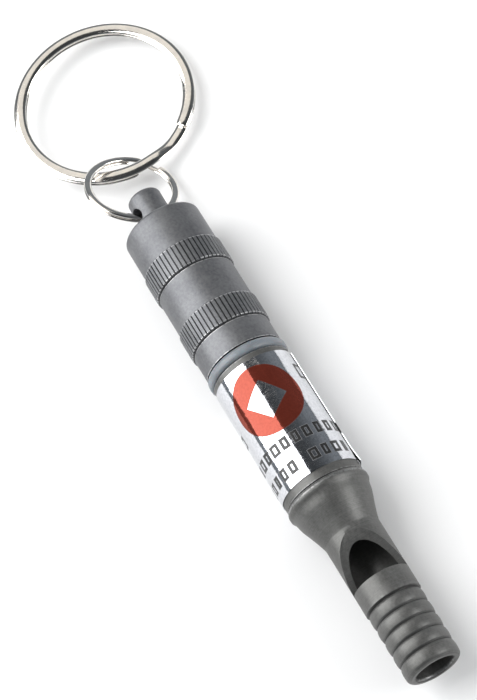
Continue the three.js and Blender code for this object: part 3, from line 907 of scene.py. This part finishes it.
def printed_foil(name):
    """Mirror foil with a translucent red disc, a knocked-out diamond and rows of little dark frames."""
    made, tree, shader, where = new_material(name)
    roll = node(tree, "ShaderNodeAttribute", attribute_name="roll").outputs["Vector"]
    parts = node(tree, "ShaderNodeSeparateXYZ", {0: roll})
    drift = math_node(tree, "SUBTRACT", noise(tree, roll, scale=6.0, detail=3.0), 0.5)
    ragged = math_node(tree, "MULTIPLY", drift, PRINT_RAGGEDNESS)
    across, along = parts.outputs[0], parts.outputs[1]

    def inside(value):
        """1 where value, a distance past an edge in millimetres, is below zero."""
        return remapped(tree, math_node(tree, "ADD", value, ragged), -PRINT_EDGE, PRINT_EDGE, 1.0, 0.0)

    def framed_box(u, v, half_u, half_v):
        """1 on the stroke of a frame whose centre is u, v away; half_u may vary."""
        past_u = math_node(tree, "SUBTRACT", math_node(tree, "ABSOLUTE", u), half_u)
        past_v = math_node(tree, "SUBTRACT", math_node(tree, "ABSOLUTE", v), half_v)
        past = math_node(tree, "MAXIMUM", past_u, past_v)
        hollow = inside(math_node(tree, "ADD", past, MARK_STROKE))
        return math_node(tree, "SUBTRACT", inside(past), hollow, clamp=True)

    def mark_row(station, half, spacing, offset):
        """Frames of several widths, with a place left empty here and there."""
        place_in_row = math_node(tree, "DIVIDE", math_node(tree, "ADD", across, offset), spacing)
        number = math_node(tree, "FLOOR", place_in_row)
        past_centre = math_node(tree, "SUBTRACT", math_node(tree, "FRACT", place_in_row), 0.5)
        u = math_node(tree, "MULTIPLY", past_centre, spacing)
        seed = math_node(tree, "ADD", number, station)
        chance = node(tree, "ShaderNodeTexWhiteNoise", {"W": seed}, noise_dimensions="1D").outputs[0]
        half_u = remapped(tree, chance, 0.2, 1.0, *MARK_HALF_WIDTHS)
        filled = math_node(tree, "GREATER_THAN", chance, MARK_GAPS)
        v = math_node(tree, "SUBTRACT", along, station)
        return math_node(tree, "MULTIPLY", framed_box(u, v, half_u, half), filled)

    du = math_node(tree, "SUBTRACT", across, DISC_SPOT[0])
    dv = math_node(tree, "SUBTRACT", along, DISC_SPOT[1])
    squares = math_node(tree, "POWER", du, 2.0), math_node(tree, "POWER", dv, 2.0)
    far = math_node(tree, "SQRT", math_node(tree, "ADD", *squares))
    disc = inside(math_node(tree, "SUBTRACT", far, DISC_RADIUS))
    c, s = math.cos(DIAMOND_TURN), math.sin(DIAMOND_TURN)
    ru = math_node(tree, "ADD", math_node(tree, "MULTIPLY", du, c), math_node(tree, "MULTIPLY", dv, s))
    rv = math_node(tree, "SUBTRACT", math_node(tree, "MULTIPLY", dv, c), math_node(tree, "MULTIPLY", du, s))
    diagonal = math_node(tree, "ADD", math_node(tree, "ABSOLUTE", ru), math_node(tree, "ABSOLUTE", rv))
    diamond = inside(math_node(tree, "SUBTRACT", diagonal, DIAMOND_STRETCH * DIAMOND_HALF))
    red = math_node(tree, "MULTIPLY", disc, math_node(tree, "SUBTRACT", 1.0, diamond))
    marks = [mark_row(*row) for row in MARK_ROWS]
    for u, v, half_u, half_v in SIDE_MARKS:
        beside = math_node(tree, "SUBTRACT", across, u), math_node(tree, "SUBTRACT", along, v)
        marks.append(framed_box(*beside, half_u, half_v))
    dark = marks[0]
    for mark in marks[1:]:
        dark = math_node(tree, "MAXIMUM", dark, mark)
    cover = remapped(tree, noise(tree, roll, scale=9.0, detail=4.0), 0.25, 0.4, 0.75, 1.0)
    dark = math_node(tree, "MULTIPLY", dark, cover)

    pits = noise(tree, where, scale=2400.0, detail=3.0, roughness=0.6)
    ripple = noise(tree, where, scale=300.0, detail=3.0, roughness=0.5)
    bright, dull = grey(0.70, (0.98, 0.99, 1.03)), grey(0.56, (0.96, 0.98, 1.03))
    foil = mixed(tree, remapped(tree, pits, 0.4, 0.7), bright, dull)
    ink = mixed(tree, remapped(tree, pits, 0.35, 0.65), INK_LIGHT, INK_DARK)
    colour = mixed(tree, red, foil, ink)
    colour = mixed(tree, dark, colour, grey(0.012))
    metal = math_node(tree, "SUBTRACT", 1.0, math_node(tree, "MULTIPLY", red, INK_COVER))
    metal = math_node(tree, "MULTIPLY", metal, math_node(tree, "SUBTRACT", 1.0, dark))
    rough = remapped(tree, pits, 0.35, 0.75, 0.05, 0.16)
    rough = math_node(tree, "ADD", rough, math_node(tree, "MULTIPLY", dark, 0.25))
    skin = bump(tree, ripple, distance=0.0002, strength=0.16)
    skin = bump(tree, pits, distance=0.00003, strength=0.18, normal=skin)
    connect(tree, shader, Base_Color=colour, Metallic=metal, Roughness=rough, Normal=skin)
    return made


def pale_floor(name):
    made, tree, shader, where = new_material(name)
    tone = mixed(tree, noise(tree, where, scale=9.0, detail=2.0), grey(0.83), grey(0.85))
    connect(tree, shader, Base_Color=tone, Roughness=0.7)
    shader.inputs["Specular IOR Level"].default_value = 0.1
    return made


# ---------------------------------------------------------------- assembly

def dress(obj, material, body, slot, *nodes):
    """Gives a piece its material and its body and hides the CAD nodes that it stands for; slot is not used."""
    obj.data.materials.clear()
    obj.data.materials.append(material)
    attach(obj, body)
    if nodes:
        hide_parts(*nodes)
    return obj


def build_pieces():
    cap_metal = blasted_metal(
        "cap_metal", grey(0.128, (0.97, 0.99, 1.06)), grey(0.195, (0.98, 1.0, 1.03)), grey(0.6), 0.25)
    whistle_metal = blasted_metal(
        "whistle_metal", grey(0.105, (1.0, 1.0, 0.96)), grey(0.155, (1.0, 1.0, 0.97)), grey(0.27), 0.6)
    nickel = nickel_plate("nickel")
    silicone = silicone_rubber("silicone", grey(0.15, (0.90, 1.0, 1.12)), grey(0.20, (0.90, 1.0, 1.1)))
    dress(make_cap(), cap_metal, "cap", "cap_metal", "cap")
    dress(make_seal(), silicone, "seal", "silicone", "cap_seal")
    dress(make_tube(), whistle_metal, "capsule", "whistle_metal", "capsule_tube")
    dress(make_label(), printed_foil("foil"), "capsule", "foil", "foil_label")
    dress(make_whistle(), whistle_metal, "capsule", "whistle_metal", "whistle_body")
    dress(make_plug(), moulded_plastic("plug_plastic"), "capsule", "plug_plastic", "windway_plug")
    link = make_split_ring("link_coil", LINK_MEAN, LINK_WIRE, LINK_END, LINK_HAND, link_ring_matrix())
    key = make_split_ring("key_coil", KEY_MEAN, KEY_WIRE, KEY_END, KEY_HAND, key_ring_matrix())
    dress(link, nickel, "link_ring", "nickel", "link_ring")
    dress(key, nickel, "key_ring", "nickel", "key_ring")
    for name, material in (("id_slip", plain_paper("paper")), ("spigot_seal", silicone)):
        kept = frame["nodes"][name]
        kept.data.materials.clear()
        kept.data.materials.append(material)


# ---------------------------------------------------------------- stage

CAMERA_TARGET = place(TIP + 34.227, 0.158, 0.0)
CAMERA_ELEVATION = math.radians(63.876)
CAMERA_ROLL = math.radians(31.84)
CAMERA_DISTANCE = 0.3697
CAMERA_LENS = 115.85
FLOOR_HALF = 3.0
FLOOR_DROP = 0.00006  # the floor lies this far below the part
SKY_COLOUR = (0.86, 0.93, 1.0, 1.0)
SKY_LOW, SKY_HIGH = 0.3, 0.95  # heights between which the sky darkens
SKY_AT_LOW, SKY_AT_HIGH = 0.26, 0.05


def make_camera():
    back = Vector((math.cos(CAMERA_ELEVATION), 0, math.sin(CAMERA_ELEVATION)))
    right = Vector((0, 1, 0))
    up = back.cross(right)
    turned_right = right * math.cos(CAMERA_ROLL) - up * math.sin(CAMERA_ROLL)
    turned_up = right * math.sin(CAMERA_ROLL) + up * math.cos(CAMERA_ROLL)
    camera = bpy.data.objects.new("camera", bpy.data.cameras.new("camera"))
    bpy.context.scene.collection.objects.link(camera)
    camera.matrix_world = framed(turned_right, turned_up, back, CAMERA_TARGET + back * CAMERA_DISTANCE)
    camera.data.lens = CAMERA_LENS
    camera.data.sensor_width = 36.0
    camera.data.clip_start = 0.01
    bpy.context.scene.camera = camera


def area_light(name, centre, size, power, colour=(1, 1, 1), in_gloss=True):
    """A rectangular light of power watts that faces the origin."""
    light = bpy.data.lights.new(name, "AREA")
    light.shape = "RECTANGLE"
    light.size, light.size_y = size
    light.energy = power
    light.color = colour
    obj = bpy.data.objects.new(name, light)
    bpy.context.scene.collection.objects.link(obj)
    back = Vector(centre).normalized()
    along = Vector((1, 0, 0))
    up = back.cross(along).normalized()
    obj.matrix_world = framed(up.cross(back), up, back, Vector(centre))
    obj.visible_glossy = in_gloss
    obj.visible_camera = False


def make_stage():
    floor_mesh = bpy.data.meshes.new("floor")
    half, low = FLOOR_HALF, -FLOOR_DROP
    corners = [(-half, -half, low), (half, -half, low), (half, half, low), (-half, half, low)]
    floor_mesh.from_pydata(corners, [], [(0, 1, 2, 3)])
    floor = bpy.data.objects.new("floor", floor_mesh)
    floor_mesh.materials.append(pale_floor("floor"))
    bpy.context.scene.collection.objects.link(floor)
    area_light("key_box", centre=(-0.27, -0.42, 0.47), size=(0.60, 0.86), power=7.4)
    area_light("side_box", centre=(0.22, 0.50, 0.33), size=(0.40, 0.34), power=2.1)
    area_light(
        "ring_card", centre=(-0.62, 0.17, 0.72), size=(0.46, 0.50), power=0.62, colour=(1.0, 0.95, 0.88))
    area_light("fill_top", centre=(0.0, 0.0, 1.2), size=(2.4, 2.4), power=9.0, in_gloss=False)
    world = bpy.data.worlds.new("studio")
    world.use_nodes = True
    background = next(n for n in world.node_tree.nodes if n.type == "BACKGROUND")
    background.inputs[0].default_value = SKY_COLOUR
    tree = world.node_tree
    direction = node(tree, "ShaderNodeTexCoord").outputs["Generated"]
    height = node(tree, "ShaderNodeSeparateXYZ", {0: direction}).outputs[2]
    strength = remapped(tree, height, SKY_LOW, SKY_HIGH, SKY_AT_LOW, SKY_AT_HIGH)
    tree.links.new(strength, background.inputs[1])
    scene = bpy.context.scene
    scene.world = world
    scene.view_settings.view_transform = "Standard"


make_camera()
build_pieces()
make_stage()
